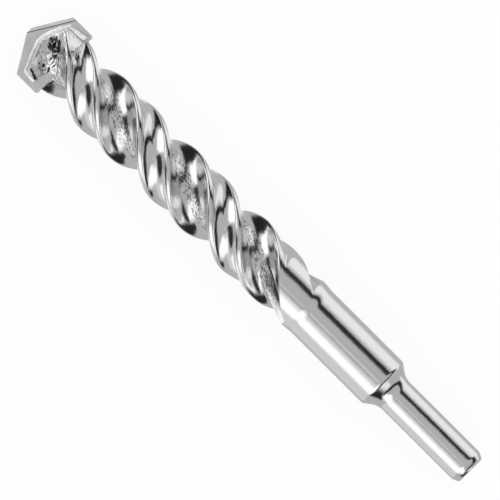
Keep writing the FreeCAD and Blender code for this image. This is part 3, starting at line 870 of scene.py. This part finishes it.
@dataclass
class BrazeFillet:
    """The braze drawn up between the steel and the plate's two faces, and a bead at its back."""

    finish: SilverBraze
    body: SteelBody
    middle: float = 192.0
    face: float = 2.7
    sweep: tuple[float, float] = (-101.0, 97.0)
    search: tuple[float, float, float] = (3.0, 14.0, 0.05)
    rays: int = 90
    steps: int = 6
    lip_steps: int = 4
    lip: float = 0.3
    coat: float = 0.03
    deepest: float = 1.2
    skirt: float = 0.15
    wander: float = 0.25
    wander_rate: float = 0.11
    climbs: tuple[tuple[float, float], ...] = (
        (-101, 1.2), (-86, 1.7), (-72, 1.7), (-60, 1.8), (-40, 2.2), (0, 2.1), (45, 2.0), (64, 1.2),
        (80, 0.4), (97, 0.2))
    widths: tuple[tuple[float, float], ...] = (
        (-101, 1.7), (-88, 1.0), (-72, 0.4), (-50, 0.8), (-25, 0.7), (0, 0.35), (25, 0.15),
        (55, 0.15), (74, 0.6), (88, 0.6), (97, 0.1))
    # A dark line is painted along the fillet's outer edge, where it meets the steel, full below the first
    # of these aims and gone by the second; the point just inside the edge takes this share of it.
    rim_ends: tuple[float, float] = (-74.0, -66.0)
    rim_inside: float = 0.3
    bead: tuple[float, float, float] = (189.0, -12.1, 1.6)
    bead_radius: float = 0.75

    def reach(self, aim: float, level: float) -> float:
        """Find how far the steel goes along one ray across the plate.

        Args:
            aim: the ray's direction from +X towards +Y, degrees.
            level: height above the axis, millimetres.

        Returns:
            Distance from the middle of the head, millimetres.
        """
        along, aside = math.cos(math.radians(aim)), math.sin(math.radians(aim))
        far, end, step = self.search
        while far < end:
            x, y = self.middle + far * along, far * aside
            turn = math.degrees(math.atan2(level, y))
            angle = turn - 90 - 360 * (x - self.body.first_land_up) / self.body.lead
            if self.body.radius(x, angle)[0] < math.hypot(y, level):
                break
            far += step
        return far - step

    def build(self) -> bpy.types.Object:
        """Draw the fillet on both faces and set the bead.

        Returns:
            The braze's object.
        """
        vertices, painted_dark, faces = [], [], []
        for k in range(self.rays + 1):
            aim = mix(self.sweep[0], self.sweep[1], k / self.rays)
            foot = self.reach(aim, self.face + self.lip)
            drift = noise.noise(Vector((aim * self.wander_rate, 3.0, 0.0)))
            wide = track(self.widths, aim) * (1 + self.wander * drift)
            climb = track(self.climbs, aim)
            profile = []
            for j in range(self.steps, 0, -1):
                rise = self.lip + climb * j / self.steps
                far = max(self.reach(aim, self.face + rise), foot - self.deepest)
                profile.append((far + self.coat, rise))
            for j in range(self.lip_steps + 1):
                share = j / self.lip_steps
                profile.append((foot + self.coat + (wide + self.skirt) * share,
                                self.lip * (1 - share) ** 2))
            # The painted dark line along the fillet's outer edge.
            rim = 1 - smooth(*self.rim_ends, aim)
            painted_dark += [0.0] * (len(profile) - 2) + [self.rim_inside * rim, rim]
            along, aside = math.cos(math.radians(aim)), math.sin(math.radians(aim))
            vertices += [Vector((self.middle + far * along, far * aside,
                                 self.face + rise)) * MM for far, rise in profile]
        row = self.steps + self.lip_steps + 1
        for k in range(self.rays):
            for j in range(row - 1):
                a = k * row + j
                faces.append((a, a + 1, a + 1 + row, a + row))
        count = len(vertices)
        vertices += [Vector((v.x, -v.y, -v.z)) for v in vertices]
        faces += [tuple(count + i for i in face) for face in faces]
        mesh = bpy.data.meshes.new("braze_fillet")
        mesh.from_pydata(vertices, [], faces)
        mesh.attributes.new("painted_dark", "FLOAT", "POINT").data.foreach_set("value", painted_dark + painted_dark)
        form = bmesh.new()
        form.from_mesh(mesh)
        for side in (1, -1):
            spot = Vector((self.bead[0], side * self.bead[1], side * self.bead[2])) * MM
            bmesh.ops.create_icosphere(form, subdivisions=3, radius=self.bead_radius * MM,
                                       matrix=Matrix.Translation(spot))
        for face in form.faces:
            face.smooth = True
        form.to_mesh(mesh)
        form.free()
        fillet = bpy.data.objects.new("braze_fillet", mesh)
        bpy.context.scene.collection.objects.link(fillet)
        mesh.materials.append(self.finish.make())
        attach(fillet, "root")
        return fillet


# studio


@dataclass(frozen=True)
class DomeCard:
    """One card or flag far off, seen only in the metal.

    Each edge entry is an azimuth from +X towards +Y and the two angles from straight up
    that the card spans there, in degrees.
    """

    name: str
    glow: float
    distance: float
    feather: float
    edge: tuple[tuple[float, float, float], ...]

    def rows(self) -> list[tuple[float, float, float, float]]:
        """List the card's rows, with one more near each end where its glow fades out.

        Returns:
            Azimuth, the two angles from straight up, and the row's strength, 0 to 1.
        """
        def between(first: int, second: int) -> tuple[float, float, float, float]:
            """Set a full-strength row the feather's share of the way from one edge entry."""
            azimuth, near, far = (mix(a, b, self.feather) for a, b in zip(
                self.edge[first], self.edge[second]))
            return azimuth, near, far, 1.0

        inner = [entry + (1.0,) for entry in self.edge[1:-1]]
        return [self.edge[0] + (0.0,), between(0, 1), *inner, between(-1, -2),
                self.edge[-1] + (0.0,)]


@dataclass
class Studio:
    """White table, soft light, cards and flags far off, and the camera straight above."""

    pixel: float = 0.3288
    frame_pixels: int = 500
    look_at: tuple[float, float] = (102.54, -0.05)
    camera_height: float = 400.0
    floor_level: float = -11.12
    floor_half: float = 4.0
    floor_board: str = "FBFBFB"
    floor_glow: float = 0.9
    ceiling: float = 0.58
    middle: tuple[float, float, float] = (0.1, 0, 0)
    across: tuple[float, float] = (-0.70794, -0.70627)
    cards: tuple[DomeCard, ...] = (
        DomeCard(name="window_left", glow=1.40, distance=3.0, feather=0.4, edge=(
            (72, 36, 46), (82, 34, 74), (90, 34, 84), (100, 30, 80), (106, 20, 78), (116, 19, 80),
            (128, 18, 82), (142, 17, 80), (154, 26, 62))),
        DomeCard(name="lamp_arm", glow=0.22, distance=2.8, feather=0.6, edge=(
            (40, 17, 20.5), (90, 17.5, 21), (150, 17, 20.5))),
        DomeCard(name="window_right", glow=1.45, distance=3.0, feather=0.3, edge=(
            (-34, 44, 58), (-17, 27, 64), (-5, 24, 86), (10, 22, 98), (22, 28, 98), (33, 42, 86))),
        DomeCard(name="overhead_panel", glow=0.80, distance=3.2, feather=0.3, edge=(
            (60, 21, 36), (76, 21, 38), (90, 21, 40), (104, 21, 40))),
        DomeCard(name="far_panel", glow=0.82, distance=3.2, feather=0.3, edge=(
            (76, 74, 120), (84, 74, 142), (96, 74, 142), (106, 74, 120))),
        DomeCard(name="ceiling_strip", glow=0.80, distance=3.3, feather=0.3, edge=(
            (60, 6, 15), (75, 6, 16), (105, 6, 16), (120, 6, 15))),
        DomeCard(name="camera_above", glow=0.38, distance=3.1, feather=0.5, edge=(
            (40, -3, 3), (90, -3, 3), (140, -3, 3))),
        DomeCard(name="table_front", glow=1.25, distance=2.9, feather=0.3, edge=(
            (-62, 132, 165), (-30, 124, 168), (0, 100, 168), (30, 100, 168), (50, 126, 168),
            (62, 114, 168), (78, 96, 168), (85, 108, 160))),
        DomeCard(name="near_side_window", glow=1.10, distance=3.0, feather=0.5, edge=(
            (222, 104, 114), (240, 94, 118), (254, 80, 120), (262, 62, 122), (272, 50, 122), (280, 62, 118),
            (294, 84, 106))),
        DomeCard(name="back_window", glow=1.20, distance=3.0, feather=0.3, edge=(
            (166, 72, 86), (180, 70, 88), (194, 72, 86))),
        DomeCard(name="long_flag", glow=0.02, distance=2.8, feather=0.3, edge=(
            (146, 66, 80), (158, 58, 77), (170, 51, 71), (184, 48, 68), (198, 52, 72),
            (211, 58, 78), (221, 62, 84), (231, 64, 94), (239, 58, 90), (247, 53, 82),
            (254, 42, 70), (262, 33, 62), (270, 23, 51), (276, 28, 54), (286, 37, 60),
            (300, 37, 62), (307, 48, 86), (313, 53, 108), (319, 57, 114), (327, 60, 108),
            (335, 62, 106), (343, 64, 100), (356, 82, 92))),
        DomeCard(name="corner_flag", glow=0.03, distance=2.8, feather=0.3, edge=(
            (35, 42, 58), (42, 26, 74), (47, 19, 88), (52, 20, 100), (58, 34, 102),
            (64, 44, 98), (72, 56, 90))),
        DomeCard(name="low_flag", glow=0.02, distance=2.8, feather=0.3, edge=(
            (126, 84, 96), (136, 80, 102), (144, 78, 108), (153, 76, 112), (163, 78, 108),
            (176, 82, 100))),
    )

    def build(self) -> None:
        """Set up the floor, world, cards and camera."""
        self.world()
        self.floor()
        for card in self.cards:
            self.card(card)
        self.camera()

    def world(self) -> None:
        """Light the room evenly: white to the camera, grey ceiling in the metal."""
        world = bpy.data.worlds.new("studio_room")
        bpy.context.scene.world = world
        world.use_nodes = True
        tree = world.node_tree
        tree.nodes.clear()
        rays = node(tree, "ShaderNodeLightPath")
        room = node(tree, "ShaderNodeBackground", {"Color": (1, 1, 1, 1), "Strength": 1.0})
        ceiling = node(tree, "ShaderNodeBackground", {
            "Color": (1, 1, 1, 1), "Strength": self.ceiling})
        backdrop = node(tree, "ShaderNodeBackground", {"Color": (1, 1, 1, 1), "Strength": 1.0})
        seen = node(tree, "ShaderNodeMixShader", {
            0: rays.outputs["Is Glossy Ray"], 1: room.outputs[0], 2: ceiling.outputs[0]})
        final = node(tree, "ShaderNodeMixShader", {
            0: rays.outputs["Is Camera Ray"], 1: seen.outputs[0], 2: backdrop.outputs[0]})
        node(tree, "ShaderNodeOutputWorld", {"Surface": final.outputs[0]})

    def floor(self) -> None:
        """Lay the white table."""
        form = bmesh.new()
        bmesh.ops.create_grid(form, x_segments=1, y_segments=1, size=self.floor_half)
        mesh = bpy.data.meshes.new("floor")
        form.to_mesh(mesh)
        form.free()
        floor = bpy.data.objects.new("floor", mesh)
        floor.location = (self.middle[0], self.middle[1], self.floor_level * MM)
        bpy.context.scene.collection.objects.link(floor)
        material, tree = blank_material("matte_white_table")
        rays = node(tree, "ShaderNodeLightPath")
        board = node(tree, "ShaderNodeBsdfDiffuse", {"Color": linear(self.floor_board)})
        glow = node(tree, "ShaderNodeEmission", {"Color": (1, 1, 1, 1), "Strength": 1.0})
        share = node(tree, "ShaderNodeMath", {
            0: rays.outputs["Is Camera Ray"], 1: self.floor_glow}, operation="MULTIPLY")
        both = node(tree, "ShaderNodeMixShader", {0: share.outputs[0], 1: board.outputs[0],
                                                  2: glow.outputs[0]})
        node(tree, "ShaderNodeOutputMaterial", {"Surface": both.outputs[0]})
        mesh.materials.append(material)
        floor.visible_glossy = False

    def card(self, card: DomeCard) -> None:
        """Hang one card on the dome round the bit.

        Args:
            card: the card's edge, distance and glow.
        """
        steps = (0.0, card.feather / 2, 0.5, 1 - card.feather / 2, 1.0)
        vertices, strengths, faces = [], [], []
        for azimuth, near, far, strength in card.rows():
            turn = math.radians(azimuth)
            for share in steps:
                lean = math.radians(mix(near, far, share))
                spot = Vector((math.sin(lean) * math.cos(turn), math.sin(lean) * math.sin(turn),
                               math.cos(lean)))
                vertices.append(spot * card.distance + Vector(self.middle))
                strengths.append(strength if 0 < share < 1 else 0.0)
        count = len(steps)
        for row in range(len(card.rows()) - 1):
            for k in range(count - 1):
                a = row * count + k
                faces.append((a, a + 1, a + 1 + count, a + count))
        mesh = bpy.data.meshes.new(card.name)
        mesh.from_pydata(vertices, [], faces)
        attribute = mesh.attributes.new("strength", "FLOAT", "POINT")
        attribute.data.foreach_set("value", strengths)
        piece = bpy.data.objects.new(card.name, mesh)
        bpy.context.scene.collection.objects.link(piece)
        material, tree = blank_material(card.name)
        strength = node(tree, "ShaderNodeAttribute", attribute_name="strength").outputs["Fac"]
        gap = node(tree, "ShaderNodeBsdfTransparent")
        glow = node(tree, "ShaderNodeEmission", {"Color": (1, 1, 1, 1), "Strength": card.glow})
        cloth = node(tree, "ShaderNodeMixShader", {0: strength, 1: gap.outputs[0],
                                                   2: glow.outputs[0]})
        node(tree, "ShaderNodeOutputMaterial", {"Surface": cloth.outputs[0]})
        mesh.materials.append(material)
        piece.visible_camera = False
        piece.visible_diffuse = False
        piece.visible_shadow = False
        piece.visible_transmission = False

    def camera(self) -> None:
        """Put the camera straight above, level with the photograph's frame."""
        data = bpy.data.cameras.new("camera")
        data.type = "ORTHO"
        data.ortho_scale = self.pixel * self.frame_pixels * MM
        camera = bpy.data.objects.new("camera", data)
        right = Vector((self.across[0], self.across[1], 0)).normalized()
        back = Vector((0, 0, 1))
        up = back.cross(right)
        turn = Matrix((right, up, back)).transposed()
        camera.matrix_world = Matrix.Translation(
            Vector((self.look_at[0], self.look_at[1], self.camera_height)) * MM) @ turn.to_4x4()
        data.clip_start, data.clip_end = 0.01, 10.0
        bpy.context.scene.collection.objects.link(camera)
        bpy.context.scene.camera = camera
        bpy.context.scene.view_settings.view_transform = "Standard"


def report(maker: Callable[[], bpy.types.Object]) -> bpy.types.Object:
    """Build one piece and log its size.

    Args:
        maker: the method that builds it.

    Returns:
        The piece.
    """
    piece = maker()
    LOG.info("%s: %d faces", piece.name, len(piece.data.polygons))
    return piece


def corners(box: tuple[Vector, Vector]) -> list[list[float]]:
    """Turn a box's two corners into plain lists."""
    return [list(corner) for corner in box]


def main() -> None:
    """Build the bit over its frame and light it."""
    logging.basicConfig(level=logging.INFO, format="%(name)s %(message)s")
    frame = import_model()
    Studio().build()
    body = SteelBody(PlatedRolledSteel())
    report(body.build)
    report(CarbidePlate(SinteredCarbide()).build)
    braze = frame["nodes"]["braze_seam"]
    braze.data.materials.clear()
    braze.data.materials.append(SilverBraze().make())
    # Partly a painted highlight: the drawn fillet is real braze, but it is made near-white and nearly
    # non-metallic, so that it and its coat over the cone's rim read as a bright band in place of the
    # reflection there.
    drawn = SilverBraze(name="drawn_braze_painted_highlight", bright="F8F8F8", stain="D6D6D6",
                        lump_mm=0.8, relief_mm=0.04, metal=0.1)
    report(BrazeFillet(drawn, body).build)


if __name__ == "__main__":
    main()
